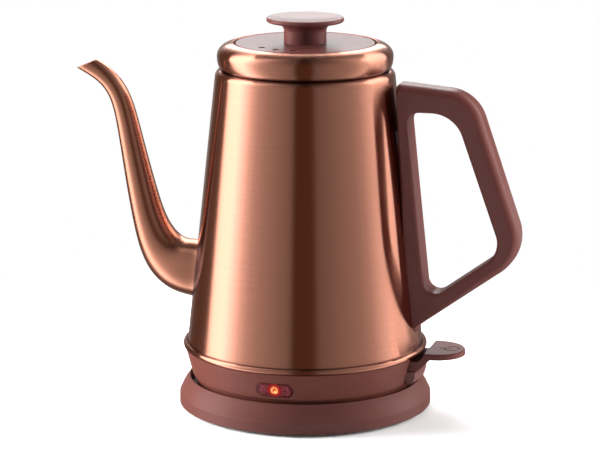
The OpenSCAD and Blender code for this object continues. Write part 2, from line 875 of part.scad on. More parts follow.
module lid_knob() {
    top = lid_top_z + knob_h;
    edge = knob_rim / 2;
    color(brown)
    difference() {
        rotate_extrude()
            polygon(concat(
                [[0, lid_top_z + 0.05], [neck_r + 0.3, lid_top_z + 0.05], [neck_r, lid_top_z + 0.4]],
                // Upright neck that flares out under the head
                oval([knob_r - 2.5, lid_top_z + neck_h],
                     [knob_r - 2.5 - neck_r, knob_h - neck_h - knob_rim], 180, 90, 8),
                arc([knob_r - edge, top - edge], edge, -90, 90, 6),
                // Shallow dish in the top, deepest in the middle
                [for (share = [0.83, 0.6, 0.3, 0]) [knob_r * share, top - knob_dish * (1 - pow(share, 2))]]));
        translate([0, 0, lid_top_z - 1]) cylinder(r = knob_screw_r + 0.05, h = knob_h - 4);
    }
}

module knob_screw() {
    color(steel)
    translate([0, 0, ledge_z + 0.05]) pan_screw(knob_screw_r, 11, 4, 2.2);
}

liner_r = 41.6;
liner_lip_z = lid_foot_z + lid_wall + 0.1;

module lid_liner() {
    color(steel)
    difference() {
        union() {
            pipe(liner_r, liner_r - sheet, liner_z, liner_lip_z + sheet);
            translate([0, 0, liner_z]) cylinder(r = liner_r, h = sheet);
            pipe(lid_foot_r, liner_r - 0.1, liner_lip_z, liner_lip_z + sheet);
        }
        around(6, 22) cylinder(r = 2.5, h = 300);
    }
}

module lid_seal() {
    color("#d9d4cc")
    pipe(mouth_r - 0.4, liner_r + 0.02, body_rim_z - 2.6, body_rim_z - 0.6);
}

base_housing();
base_plate();
base_connector();
base_contacts();
base_feet();
base_screws();
cord_gland();
body_shell();
spout();
trim_ring();
floor_plate();
heat_spreader();
heating_element();
steam_tube();
kettle_skirt();
kettle_control();
kettle_contacts();
mount_posts();
skirt_screws();
lamp_lens();
lamp_bulb();
lamp_holder();
switch_housing();
snap_disc();
switch_pin();
handle();
handle_hook();
handle_anchor();
handle_screw();
switch_lever();
lid_ring();
lid_disc();
lid_knob();
knob_screw();
lid_liner();
lid_seal();
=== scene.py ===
"""An electric gooseneck kettle on its lift-off power base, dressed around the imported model."""
import json

import bmesh
import bpy
import numpy as np
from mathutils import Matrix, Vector

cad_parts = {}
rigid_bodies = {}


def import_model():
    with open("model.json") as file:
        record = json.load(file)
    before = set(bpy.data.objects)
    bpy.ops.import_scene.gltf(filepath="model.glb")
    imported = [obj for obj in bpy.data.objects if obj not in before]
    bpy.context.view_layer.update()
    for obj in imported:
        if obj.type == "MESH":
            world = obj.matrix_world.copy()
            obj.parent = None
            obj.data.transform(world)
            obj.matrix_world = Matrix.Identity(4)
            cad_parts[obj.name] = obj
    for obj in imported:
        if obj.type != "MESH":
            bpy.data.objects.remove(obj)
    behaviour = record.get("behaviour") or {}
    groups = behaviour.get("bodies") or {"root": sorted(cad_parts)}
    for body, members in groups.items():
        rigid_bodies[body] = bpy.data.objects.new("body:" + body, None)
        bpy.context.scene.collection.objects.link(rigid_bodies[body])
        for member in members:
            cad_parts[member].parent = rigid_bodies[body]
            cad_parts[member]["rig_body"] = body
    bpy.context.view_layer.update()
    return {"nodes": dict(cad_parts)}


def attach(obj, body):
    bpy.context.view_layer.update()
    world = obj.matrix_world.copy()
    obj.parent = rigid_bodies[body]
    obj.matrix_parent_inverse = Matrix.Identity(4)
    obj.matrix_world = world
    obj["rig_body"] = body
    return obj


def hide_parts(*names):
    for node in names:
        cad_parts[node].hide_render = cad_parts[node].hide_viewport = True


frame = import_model()

# Studio ---------------------------------------------------------------------
# A white floor that runs out into a white background, soft lamps above and to both sides, and a
# tent of light and dark cloths round two softboxes and a card, which only glossy surfaces mirror.
# Lengths are in metres and angles in degrees, and the camera's azimuth counts from -Y towards +X
camera_azimuth = 15
camera_elevation = 12.694
camera_distance = 1.5064
camera_aim = Vector((0, 0, 0.10124))
sensor_width = 36
focal_length = 163.53
picture_width = 600
aim_offset_pixels = 5.19
floor_radius = 9
# Distances from the middle between which the floor turns plain white
white_from = 0.14
white_by = 0.35
room_glow = 0.42
tent_radius = 2.6
softbox_distance = 2.3
twice_mirrored = (0.25, 0.42, 0.6, 1)


def linear(hex_colour):
    """Linear RGBA of an sRGB hex colour: c / 12.92 up to 0.04045, else ((c + 0.055) / 1.055) ** 2.4."""
    c = np.array([int(hex_colour[i:i + 2], 16) for i in (1, 3, 5)]) / 255
    c = np.where(c <= 0.04045, c / 12.92, ((c + 0.055) / 1.055) ** 2.4)
    return (*c.tolist(), 1)


def add_node(tree, kind, inputs, **settings):
    """Adds a node with its settings; inputs maps each socket to a value or to another node's output."""
    made = tree.nodes.new(kind)
    for key, value in settings.items():
        setattr(made, key, value)
    for socket, value in inputs.items():
        if isinstance(value, bpy.types.NodeSocket):
            tree.links.new(value, made.inputs[socket])
        else:
            made.inputs[socket].default_value = value
    return made


def mix_colours(tree, share, first, second, **settings):
    """Blends the first colour into the second by share, and gives the output."""
    return add_node(tree, "ShaderNodeMix", {0: share, 6: first, 7: second}, data_type="RGBA",
                    **settings).outputs[2]


def set_ramp(ramp, stops):
    """Puts the stops (position, colour) on a colour ramp."""
    elements = ramp.color_ramp.elements
    while len(elements) < len(stops):
        elements.new(0.5)
    for element, (position, colour) in zip(elements, stops):
        element.position = position
        element.color = colour


def show_background(tree, plain_strength):
    """Strength 1 for rays from the camera and those that metal and glass send on, else plain_strength."""
    path = add_node(tree, "ShaderNodeLightPath", {})
    seen = path.outputs["Is Camera Ray"]
    for ray in ("Is Glossy Ray", "Is Transmission Ray"):
        seen = add_node(tree, "ShaderNodeMath", {0: seen, 1: path.outputs[ray]},
                        operation="MAXIMUM").outputs[0]
    return add_node(tree, "ShaderNodeMapRange", {"Value": seen, "To Min": plain_strength, "To Max": 1})


scene = bpy.context.scene
scene.view_settings.view_transform = "Standard"


def link(name, data):
    """A new object with this data, in the scene."""
    made = bpy.data.objects.new(name, data)
    scene.collection.objects.link(made)
    return made


def towards(turned, raised):
    """Unit vector turned degrees to the right of the camera and raised degrees above the level."""
    a, e = np.radians([turned + camera_azimuth, raised])
    return Vector((np.sin(a) * np.cos(e), -np.cos(a) * np.cos(e), np.sin(e)))


towards_camera = towards(0, camera_elevation)
camera_data = bpy.data.cameras.new("camera")
camera_data.sensor_width = sensor_width
camera_data.lens = focal_length
camera_data.shift_x = -aim_offset_pixels / picture_width
camera = link("camera", camera_data)
camera.location = camera_aim + towards_camera * camera_distance
camera.rotation_euler = (-towards_camera).to_track_quat("-Z", "Y").to_euler()
scene.camera = camera

world = bpy.data.worlds.new("white_room")
scene.world = world
world.use_nodes = True
world.node_tree.nodes.clear()
room_strength = show_background(world.node_tree, room_glow)
room_light = add_node(world.node_tree, "ShaderNodeBackground",
                      {"Color": (1, 1, 1, 1), "Strength": room_strength.outputs[0]})
add_node(world.node_tree, "ShaderNodeOutputWorld", {"Surface": room_light.outputs[0]})

# Lamps: (name, azimuth from the camera, elevation, distance, size, power in watts, mirrored in gloss)
lamps = [("lamp_left", -98, 12, 1.5, 0.9, 80, False), ("lamp_right", 98, 12, 1.5, 0.9, 40, False),
         ("lamp_top", 180, 68, 1.5, 0.9, 15, False), ("lamp_back", 180, 32.7, 0.83, 0.44, 2.2, True)]
for name, lamp_azimuth, lamp_elevation, distance, size, power, mirrored in lamps:
    direction = towards(lamp_azimuth, lamp_elevation)
    lamp_data = bpy.data.lights.new(name, "AREA")
    lamp_data.energy = power
    lamp_data.size = size
    lamp = link(name, lamp_data)
    lamp.location = camera_aim + direction * distance
    lamp.rotation_euler = (-direction).to_track_quat("-Z", "Y").to_euler()
    lamp.visible_glossy = mirrored
    lamp.visible_camera = False

floor_paint = bpy.data.materials.new("floor_paint")
floor_paint.use_nodes = True
floor_shader = floor_paint.node_tree.nodes["Principled BSDF"]
floor_shader.inputs["Base Color"].default_value = (0.96, 0.96, 0.96, 1)
floor_shader.inputs["Roughness"].default_value = 0.9
floor_shader.inputs["Specular IOR Level"].default_value = 0.1
# Away from the object the floor is as white as the background to the camera
tree = floor_paint.node_tree
place = add_node(tree, "ShaderNodeTexCoord", {})
out_from_middle = add_node(tree, "ShaderNodeVectorMath", {0: place.outputs["Object"]}, operation="LENGTH")
far = add_node(tree, "ShaderNodeMapRange", {"Value": out_from_middle.outputs["Value"],
                                           "From Min": white_from, "From Max": white_by},
               interpolation_type="SMOOTHSTEP")
camera_ray = add_node(tree, "ShaderNodeLightPath", {})
far = add_node(tree, "ShaderNodeMath", {0: far.outputs[0], 1: camera_ray.outputs["Is Camera Ray"]},
               operation="MULTIPLY")
plain_white = add_node(tree, "ShaderNodeEmission", {"Color": (1, 1, 1, 1), "Strength": 1})
blend = add_node(tree, "ShaderNodeMixShader", {0: far.outputs[0], 1: floor_shader.outputs[0],
                                              2: plain_white.outputs[0]})
tree.links.new(blend.outputs[0], tree.nodes["Material Output"].inputs["Surface"])
tent_cloth = bpy.data.materials.new("tent_cloth")
tent_cloth.use_nodes = True


def once_mirrored(tree):
    """White for the first mirror, and twice_mirrored for the next, since metal that mirrors other metal
    would show the cloths too strongly and too red. They hang close and are dim in a real tent."""
    path = add_node(tree, "ShaderNodeLightPath", {})
    again = add_node(tree, "ShaderNodeMapRange", {"Value": path.outputs["Glossy Depth"], "From Min": 1,
                                                 "From Max": 2})
    return mix_colours(tree, again.outputs[0], (1, 1, 1, 1), twice_mirrored)


def glowing_cloth(name, low, high):
    """White cloth that glows with strength low up to the table and high from 1 m above it."""
    cloth = bpy.data.materials.new(name)
    cloth.use_nodes = True
    cloth.node_tree.nodes.clear()
    place = add_node(cloth.node_tree, "ShaderNodeTexCoord", {})
    place = add_node(cloth.node_tree, "ShaderNodeSeparateXYZ", {0: place.outputs["Object"]})
    strength = add_node(cloth.node_tree, "ShaderNodeMapRange", {"Value": place.outputs["Z"], "From Min": 0,
                                                               "From Max": 1, "To Min": low, "To Max": high})
    glow = add_node(cloth.node_tree, "ShaderNodeEmission", {"Color": once_mirrored(cloth.node_tree),
                                                           "Strength": strength.outputs[0]})
    add_node(cloth.node_tree, "ShaderNodeOutputMaterial", {"Surface": glow.outputs[0]})
    return cloth


def between(corners):
    """Grid of two rows of points from corners (degrees right of the camera, degrees raised), by rows."""
    return np.array([[softbox_distance * towards(*corner) for corner in row] for row in corners])


# Corners of the softboxes, which lean back in the tent: the low edge, then the high edge
left_corners = [[(-101, -24), (-88, -24)], [(-140, 55), (-88, 50)]]
right_corners = [[(92, -24), (116, -24)], [(92, 44), (150, 46)]]
# The card stands close behind the handle
card_x = (0.155, 0.35)
card_y = 0.25
card_top = 0.12
tent_columns = 96
tent_rows = 30
turn = np.linspace(0, 2 * np.pi, tent_columns + 1)
circle = np.stack([np.cos(turn), np.sin(turn), 0 * turn], -1)
rise = np.radians(np.linspace(-90, 90, tent_rows + 1))[:, None, None]
# Each stand is a grid of points and its paint
stands = {"floor": (np.stack([circle * 0, circle * floor_radius]), floor_paint),
          "tent": (tent_radius * (circle * np.cos(rise) + np.array([0, 0, 1]) * np.sin(rise)), tent_cloth),
          "softbox_left": (between(left_corners), glowing_cloth("softbox_left", 2.7, 3.2)),
          "softbox_right": (between(right_corners), glowing_cloth("softbox_right", 1.15, 2.4)),
          "card": (np.array([[(x, card_y, z) for x in card_x] for z in (0, card_top)]),
                   glowing_cloth("card", 0.6, 0.6))}
for name, (rows, paint) in stands.items():
    count, columns = rows.shape[:2]
    mesh = bpy.data.meshes.new(name)
    faces = [(columns * i + j, columns * i + j + 1, columns * (i + 1) + j + 1, columns * (i + 1) + j)
             for i in range(count - 1) for j in range(columns - 1)]
    mesh.from_pydata(rows.reshape(-1, 3).tolist(), [], faces)
    mesh.materials.append(paint)
    stand = link(name, mesh)
    if name == "floor":
        stand.visible_glossy = False
    else:
        stand.visible_camera = stand.visible_diffuse = False
        stand.visible_shadow = stand.visible_transmission = False

# Cloths round the tent: (degrees to the right of the camera, brightness)
cloths = [(-180, 0.2), (-163, 0.3), (-150, 0.09), (-135, 0.07), (-110, 0.12), (-104, 1.5), (-98, 2.5),
          (-88, 2.7), (-80, 2), (-70, 1.05), (-60, 0.62), (-48, 0.44), (-30, 0.31), (-17, 0.23), (-11, 0.05),
          (8, 0.06), (14, 0.18), (40, 0.29), (58, 0.37), (70, 0.51), (80, 0.8), (90, 1.1), (112, 1.1),
          (122, 0.3), (135, 0.14), (150, 0.16), (165, 0.2), (180, 0.2)]
# Brightness by (degrees above the level), from the floor to overhead
heights = [(-90, 0.2), (-66, 0.6), (-40, 1), (24, 1), (36, 0.87), (46, 0.75), (56, 0.56),
           (66, 0.4), (78, 0.25), (90, 0.15)]
# The brighter a cloth, the cooler its light. Below brown_below a cloth turns brown, with a share more
# red and a share less blue than grey
cool_share = 0.09
brown_below = 0.16
brown_red = 0.9
brown_blue = 0.5
# A ramp holds colours up to 1, so the brightest cloth stays under that
headroom = 1.1
tree = tent_cloth.node_tree
tree.nodes.clear()
place = add_node(tree, "ShaderNodeTexCoord", {})
place = add_node(tree, "ShaderNodeSeparateXYZ", {0: place.outputs["Object"]})
angle = add_node(tree, "ShaderNodeMath", {0: place.outputs["X"], 1: place.outputs["Y"]},
                 operation="ARCTAN2")
share = add_node(tree, "ShaderNodeMath", {0: angle.outputs[0], 1: 0.5 / np.pi, 2: 0.5},
                 operation="MULTIPLY_ADD")
brightest = headroom * max(brightness for _, brightness in cloths)
ramp = add_node(tree, "ShaderNodeValToRGB", {0: share.outputs[0]})
# ARCTAN2(x, y) grows from -Y through -X, +Y and +X, so the order of the cloths is turned round
stops = sorted(((-degrees - camera_azimuth) / 360 % 1, brightness / brightest)
               for degrees, brightness in cloths[:-1])
seam = np.interp(0, [stops[-1][0] - 1, stops[0][0]], [stops[-1][1], stops[0][1]])
tints = [(p, v, max(0, 1 - v * brightest / brown_below)) for p, v in [(0, seam), *stops, (1, seam)]]
set_ramp(ramp, [(p, (v * (1 - cool_share * v + brown_red * brown), v,
                     v * (1 + cool_share * v - brown_blue * brown), 1)) for p, v, brown in tints])
level = add_node(tree, "ShaderNodeMapRange", {"Value": place.outputs["Z"], "From Min": -tent_radius,
                                             "From Max": tent_radius})
fall = add_node(tree, "ShaderNodeValToRGB", {0: level.outputs[0]})
set_ramp(fall, [(np.sin(np.radians(raised)) / 2 + 0.5, (v, v, v, 1)) for raised, v in heights])
strength = add_node(tree, "ShaderNodeMath", {0: fall.outputs[0], 1: brightest}, operation="MULTIPLY")
tinted = mix_colours(tree, 1, ramp.outputs[0], once_mirrored(tree), blend_type="MULTIPLY")
glow = add_node(tree, "ShaderNodeEmission", {"Color": tinted, "Strength": strength.outputs[0]})
add_node(tree, "ShaderNodeOutputMaterial", {"Surface": glow.outputs[0]})

# Power base: housing --------------------------------------------------------
# The ring-shaped top moulding of the base, in polypropylene with a spark-eroded grain. A straight
# band meets a slightly bulging slope at a soft edge, and the recess inside takes the kettle.
MM = 0.001
base_r = 70
base_band_h = 7.4
base_rim_r = 63.7
base_rim_z = 17.6
base_foot_z = 0.9
recess_r = 63
recess_z = 11.2
deck_z = 9
tower_hole_r = 15.3
base_wall = 2.2
draft = 0.4
base_foot_ease = 0.9
# The soft edge between band and slope: half its height, how far it leans in, and its radius
band_edge = 0.5
band_edge_lean = 0.35
band_edge_r = 1.2
# Where the slope starts, in and up from the band's corner, and ends, out and down from the rim's
slope_start = (0.5, 0.8)
slope_end = (1.3, 1.6)
slope_bulge_r = 28
# The round rim: its middle, out and down from the rim's corner, and its half width and height
rim_middle = (0.6, 2)
rim_half = (0.8, 1.3)
base_sides = 288


def soften(corners, steps=8):
    """A closed outline through corners (x, y, radius). Each corner becomes an arc that touches both
    sides at radius / tan(half the corner's angle) from it. Radius 0 keeps the corner's point."""
    c = np.array(corners, float)
    points = []
    for i, (x, y, radius) in enumerate(c):
        here = np.array([x, y])
        if radius == 0:
            points.append(here[None])
            continue
        u, v = c[i - 1, :2] - here, c[(i + 1) % len(c), :2] - here
        u, v = u / np.hypot(*u), v / np.hypot(*v)
        half = np.arccos(np.clip(u @ v, -1, 1)) / 2
        centre = here + (u + v) / np.hypot(*(u + v)) * radius / np.sin(half)
        first, last = (np.arctan2(*(here + side * radius / np.tan(half) - centre)[::-1]) for side in (u, v))
        sweep = (last - first + np.pi) % (2 * np.pi) - np.pi
        t = first + sweep * np.linspace(0, 1, steps + 1)
        points.append(centre + radius * np.stack([np.cos(t), np.sin(t)], -1))
    return np.concatenate(points)


def bulge(start, end, radius, steps=12):
    """Points from start to end on an arc of that radius that bulges to the right of the way there."""
    start, end = np.array(start, float), np.array(end, float)
    way = (end - start) / 2
    half = np.hypot(*way)
    centre = start + way - np.array([way[1], -way[0]]) / half * np.sqrt(radius ** 2 - half ** 2)
    first, last = (np.arctan2(*(p - centre)[::-1]) for p in (start, end))
    t = np.linspace(first, last, steps + 1)
    return centre + radius * np.stack([np.cos(t), np.sin(t)], -1)


def oval(centre, half, start, end, steps=16):
    """Points centre + (a cos t, b sin t) for t from start to end in degrees."""
    t = np.radians(np.linspace(start, end, steps + 1))
    return np.array(centre) + np.stack([half[0] * np.cos(t), half[1] * np.sin(t)], -1)


def full_turn(count):
    """Angles of count even steps round a full turn."""
    return np.arange(count) * 2 * np.pi / count


def revolve(profile, sides):
    """A profile (radius, height) turned about Z: x = r cos a, y = r sin a, z = h, one row per point."""
    a = full_turn(sides)
    r, h = np.array(profile, float).T[:, :, None]
    return np.stack([r * np.cos(a), r * np.sin(a), h + 0 * a], -1)


def grid_quads(rows, columns, wrap_rows, wrap_columns):
    """Quads of a grid of points counted row by row, which join (i, j), (i, j+1), (i+1, j+1), (i+1, j)."""
    i, j = np.meshgrid(np.arange(rows - (not wrap_rows)), np.arange(columns - (not wrap_columns)),
                       indexing="ij")
    below, right = (i + 1) % rows, (j + 1) % columns
    return np.stack([i * columns + j, i * columns + right, below * columns + right, below * columns + j],
                    -1).reshape(-1, 4)


def make_piece(name, grid, material, body, replaced, wrap_rows=True, sharp=35):
    """One closed mesh in metres from a grid of points in mm whose columns close into rings, and with
    wrap_rows its rows too. Seams and poles are merged, faces turned outwards, and edges sharper than
    the given degrees shown crisp. The piece moves with its body and stands for the replaced nodes."""
    mesh = bpy.data.meshes.new(name)
    mesh.from_pydata((grid.reshape(-1, 3) * MM).tolist(), [],
                     grid_quads(*grid.shape[:2], wrap_rows, True).tolist())
    work = bmesh.new()
    work.from_mesh(mesh)
    bmesh.ops.remove_doubles(work, verts=work.verts, dist=2e-6)
    bmesh.ops.dissolve_degenerate(work, edges=work.edges, dist=1e-7)
    bmesh.ops.recalc_face_normals(work, faces=work.faces)
    work.to_mesh(mesh)
    work.free()
    mesh.shade_smooth()
    mesh.set_sharp_from_angle(angle=np.radians(sharp))
    mesh.materials.append(material)
    piece = link(name, mesh)
    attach(piece, body)
    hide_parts(*replaced)
    return piece


def start_material(name, colour, **constants):
    """A material on one Principled shader, with a plain colour and constant sockets."""
    material = bpy.data.materials.new(name)
    material.use_nodes = True
    shader = material.node_tree.nodes["Principled BSDF"]
    shader.inputs["Base Color"].default_value = linear(colour)
    for socket, value in constants.items():
        shader.inputs[socket.replace("_", " ")].default_value = value
    return material, material.node_tree, shader


def noise(tree, place, size_mm, detail, **inputs):
    """Noise with lumps size_mm across, and its output, which keeps mostly within 0.3 to 0.7."""
    return add_node(tree, "ShaderNodeTexNoise", {"Vector": place, "Scale": 1 / (size_mm * MM),
                                                "Detail": detail, **inputs}).outputs["Fac"]


def spread(tree, value, low, high):
    """Stretches a noise's usual range, 0.3 to 0.7, over low to high."""
    return add_node(tree, "ShaderNodeMapRange", {"Value": value, "From Min": 0.3, "From Max": 0.7,
                                                "To Min": low, "To Max": high}).outputs[0]


def moulded_plastic(name, colour, light_colour, roughness, gloss, grain_mm, grain_depth_mm):
    """Polypropylene from a steel mould: even colour with a faint cloud, satin gloss, and a grain
    of pits grain_mm apart and grain_depth_mm deep that breaks the highlights up."""
    material, tree, shader = start_material(name, colour, Roughness=roughness, IOR=1.45,
                                            Specular_IOR_Level=gloss)
    cloud_mm = 14
    place = add_node(tree, "ShaderNodeTexCoord", {}).outputs["Object"]
    cloud = noise(tree, place, cloud_mm, 3)
    tint = mix_colours(tree, cloud, linear(colour), linear(light_colour))
    tree.links.new(tint, shader.inputs["Base Color"])
    grain = noise(tree, place, grain_mm, 2, Roughness=0.6)
    tree.links.new(spread(tree, grain, roughness - 0.05, roughness + 0.08), shader.inputs["Roughness"])
    bump = add_node(tree, "ShaderNodeBump", {"Height": grain, "Strength": 0.5,
                                            "Distance": grain_depth_mm * MM})
    tree.links.new(bump.outputs[0], shader.inputs["Normal"])
    return material


grained_plastic = moulded_plastic("grained_polypropylene", "#572f2a", "#5c342f", 0.42, 0.35, 0.65, 0.25)
# From the foot up: band, its soft edge, slope, round rim, recess, and the hollow underside
housing_line = np.concatenate([
    soften([(base_r - base_foot_ease, base_foot_z, 0.3), (base_r, base_foot_z + base_foot_ease, 0.6),
            (base_r, base_band_h, 0)])[:-1],
    bulge((base_r, base_band_h - band_edge), (base_r - band_edge_lean, base_band_h + band_edge),
          band_edge_r, 6),
    bulge((base_r - slope_start[0], base_band_h + slope_start[1]),
          (base_rim_r + slope_end[0], base_rim_z - slope_end[1]), slope_bulge_r),
    oval((base_rim_r + rim_middle[0], base_rim_z - rim_middle[1]), rim_half, 30, 170, 10),
    [(recess_r - draft, recess_z), (tower_hole_r, recess_z), (tower_hole_r, deck_z), (recess_r - 1, deck_z),
     (base_r - base_wall - draft, base_band_h - band_edge), (base_r - base_wall, base_foot_z)]])
make_piece("base_top", revolve(housing_line, base_sides), grained_plastic, "power_base",
           ["base_housing"])

# Power base: cover, feet, screws, contacts and cord bush ----------------------
# The parts under and inside the base keep their built shape: a plain dark moulded cover, rubber
# feet, zinc-plated screws, the round connector tower with its brass rings, and a rubber bush.
def plain_material(name, colour, roughness, metallic=0, mottle_mm=6):
    """One colour with a faint cloud of roughness mottle_mm across, as on stock that is handled."""
    material, tree, shader = start_material(name, colour, Metallic=metallic)
    place = add_node(tree, "ShaderNodeTexCoord", {}).outputs["Object"]
    cloud = noise(tree, place, mottle_mm, 4)
    tree.links.new(spread(tree, cloud, roughness - 0.06, roughness + 0.06), shader.inputs["Roughness"])
    return material


def dress(material, *nodes):
    """Gives CAD nodes a material in every slot."""
    for name in nodes:
        mesh = frame["nodes"][name].data
        mesh.materials.clear()
        mesh.materials.append(material)


# Dark nylon for the cover, tower, control and lamp holder, and as painted shade on the switch's ears
dark_plastic_and_painted_shade = plain_material("dark_nylon_and_painted_shade", "#33211f", 0.45)
plated_steel = plain_material("zinc_plated_steel", "#b8b8b4", 0.3, metallic=1)
brass = plain_material("contact_brass", "#d2b26a", 0.28, metallic=1)
rubber = plain_material("black_rubber", "#1c1918", 0.75, mottle_mm=2)
dress(dark_plastic_and_painted_shade, "base_plate", "base_connector")
dress(plated_steel, "base_screws")
dress(brass, "base_contacts")
dress(rubber, "base_feet", "cord_gland")

# Kettle: body shell ---------------------------------------------------------
# A cone of copper-toned stainless sheet, drawn to a rounded shoulder and hemmed round the mouth,
# then brushed round its axis, which blurs mirrored light upright but keeps its sides clear.
body_foot_r = 65.4
body_foot_z = 36.2
body_lean = np.radians(6.15)
body_rim_z = 188.8
shoulder_r = 4
mouth_r = 43.4
mouth_edge_r = 0.6
hem = 3
hem_edge_r = 0.3
sheet = 0.8
body_sides = 360
spout_root_z = 73
# The hole under the spout, cut between two places along X
port_r = 13.5
port_x = (-70, -50)
port_sides = 48


def flank_r(z):
    """Radius of the body's flank at a height: the foot's radius less the rise times tan(lean)."""
    return body_foot_r - (z - body_foot_z) * np.tan(body_lean)


def divide(line, longest):
    """Adds points so that no stretch between two points of a closed line is over the given length: each
    is cut into the least number of equal parts that are short enough."""
    after = np.roll(line, -1, axis=0)
    pieces = np.maximum(1, np.ceil(np.hypot(*(after - line).T) / longest)).astype(int)
    return np.concatenate([a + (b - a) * np.arange(n)[:, None] / n
                           for a, b, n in zip(line, after, pieces)])


def brushed_copper(name, colour, roughness, stroke_mm, stroke_depth_mm, blur):
    """Copper-toned steel: metallic, strokes of a fine belt stroke_mm apart running level, so that
    gloss is drawn out upright by blur, with a faint drift of tone from the vapour coating."""
    stroke_length = 60
    stroke_tone = (0.94, 1.04)
    drift_mm = 40
    stroke_matt, drift_matt = 0.12, 0.06
    material, tree, shader = start_material(name, colour, Metallic=1, Anisotropic=blur)
    place = add_node(tree, "ShaderNodeTexCoord", {}).outputs["Object"]
    # Strokes are stroke_length times as long as they are apart, and coarser than real ones to show
    level = add_node(tree, "ShaderNodeMapping", {"Vector": place,
                                                "Scale": (1 / stroke_length, 1 / stroke_length, 1)})
    strokes = noise(tree, level.outputs[0], stroke_mm, 4, Roughness=0.7)
    drift = noise(tree, place, drift_mm, 2)
    tone = add_node(tree, "ShaderNodeHueSaturation", {"Value": spread(tree, strokes, *stroke_tone),
                                                     "Color": linear(colour)})
    tree.links.new(tone.outputs[0], shader.inputs["Base Color"])
    # Noise lies round 0.5, so half of either share comes off the roughness
    matt = roughness - (stroke_matt + drift_matt) / 2
    for value, weight in ((strokes, stroke_matt), (drift, drift_matt)):
        matt = add_node(tree, "ShaderNodeMath", {0: value, 1: weight, 2: matt},
                        operation="MULTIPLY_ADD").outputs[0]
    tree.links.new(matt, shader.inputs["Roughness"])
    bump = add_node(tree, "ShaderNodeBump", {"Height": strokes, "Strength": 0.4,
                                            "Distance": stroke_depth_mm * MM})
    tree.links.new(bump.outputs[0], shader.inputs["Normal"])
    # A quarter turn lays the blur along the flank
    round_axis = add_node(tree, "ShaderNodeTangent", {}, direction_type="RADIAL", axis="Z")
    tree.links.new(round_axis.outputs[0], shader.inputs["Tangent"])
    shader.inputs["Anisotropic Rotation"].default_value = 0.25
    return material


body_copper = brushed_copper("brushed_copper_steel", "#e79d83", 0.21, 0.35, 0.0015, 1)
# From the shoulder over the mouth and its hem, and down the inside of the flank
body_line = soften([(flank_r(body_rim_z), body_rim_z, shoulder_r), (mouth_r, body_rim_z, mouth_edge_r),
                    (mouth_r, body_rim_z - hem, hem_edge_r), (mouth_r + sheet, body_rim_z - hem, hem_edge_r),
                    (mouth_r + sheet, body_rim_z - sheet, hem_edge_r),
                    (flank_r(body_rim_z) - sheet, body_rim_z - sheet, shoulder_r - sheet),
                    (body_foot_r - sheet, body_foot_z, 0), (body_foot_r, body_foot_z, 0)], steps=12)
body = make_piece("body_skin", revolve(divide(body_line, 4), body_sides), body_copper,
                  "kettle", ["body_shell"])


def apply_modifiers(piece):
    """Puts the mesh that the modifiers make in place of the piece's own."""
    bpy.context.view_layer.update()
    evaluated = piece.evaluated_get(bpy.context.evaluated_depsgraph_get())
    mesh = bpy.data.meshes.new_from_object(evaluated)
    piece.modifiers.clear()
    piece.data = mesh


def cut(piece, points, faces):
    """Takes the closed shape of these points in mm and faces out of a piece for good."""
    tool_mesh = bpy.data.meshes.new("cutter")
    tool_mesh.from_pydata((points * MM).tolist(), [], faces)
    work = bmesh.new()
    work.from_mesh(tool_mesh)
    bmesh.ops.recalc_face_normals(work, faces=work.faces)
    work.to_mesh(tool_mesh)
    work.free()
    tool = link("cutter", tool_mesh)
    step = piece.modifiers.new("cut", "BOOLEAN")
    step.operation = "DIFFERENCE"
    step.solver = "EXACT"
    step.object = tool
    apply_modifiers(piece)
    bpy.data.objects.remove(tool)


turn = full_turn(port_sides)
port = np.stack([0 * turn, port_r * np.cos(turn), spout_root_z + port_r * np.sin(turn)], -1)
cut(body, np.concatenate([port + (x, 0, 0) for x in port_x]),
    grid_quads(2, port_sides, False, True).tolist()
    + [tuple(range(port_sides)), tuple(range(2 * port_sides - 1, port_sides - 1, -1))])

# Kettle: spout --------------------------------------------------------------
# A seamless tube drawn to a taper and bent in two curves, welded on the flank, with its lip cut
# aslant and its edge rolled smooth. It is polished, so it has only faint wide bands of tone.
# Centre line: (x, z, outer radius), from the flank to the lip
spout_points = [(-62, spout_root_z, 16), (-72.5, spout_root_z + 0.9, 15.7), (-82.5, 82.4, 12.6),
                (-89.5, 97, 9.6), (-95.5, 121, 8), (-100, 142.5, 6.8), (-105, 165, 5.8), (-109.5, 175, 5.4),
                (-117, 182, 5.1), (-125.5, 186.2, 5)]
lip_slant = 0.8
spout_sides = 72
spout_steps = 14
spout_rows = 160
relax_rows = 9
root_blend = 12
weld_flare = 0.25
weld_width = 1


def smooth_path(points, steps):
    """A Catmull-Rom curve through all points: on each stretch half of 2b + (c-a)t + (2a-5b+4c-d)t^2
    + (3b-a-3c+d)t^3, where b and c are its ends and a and d their outer neighbours."""
    p = np.array(points, float)
    p = np.concatenate([2 * p[:1] - p[1:2], p, 2 * p[-1:] - p[-2:-1]])
    a, b, c, d = (p[i:len(p) - 3 + i, None] for i in range(4))
    t = (np.arange(steps) / steps)[None, :, None]
    curve = (2 * b + (c - a) * t + (2 * a - 5 * b + 4 * c - d) * t ** 2
             + (3 * b - a - 3 * c + d) * t ** 3) / 2
    return np.concatenate([curve.reshape(-1, p.shape[1]), p[-2:-1]])


def lengths(path):
    """Length along the path from its start to each of its points."""
    return np.concatenate([[0], np.cumsum(np.hypot(*np.diff(path[:, :2], axis=0).T))])


def relax(path, count, reach):
    """The path at count even steps, each row the mean of its neighbours up to reach rows away, twice
    over. Beyond its ends the path goes on as its own point mirror, so that the ends stay."""
    length = lengths(path)
    even = np.linspace(0, length[-1], count)
    path = np.stack([np.interp(even, length, column) for column in path.T], -1)
    for _ in range(2):
        longer = np.concatenate([2 * path[0] - path[reach:0:-1], path,
                                 2 * path[-1] - path[-2:-reach - 2:-1]])
        path = np.mean([longer[i:i + count] for i in range(2 * reach + 1)], 0)
    return path


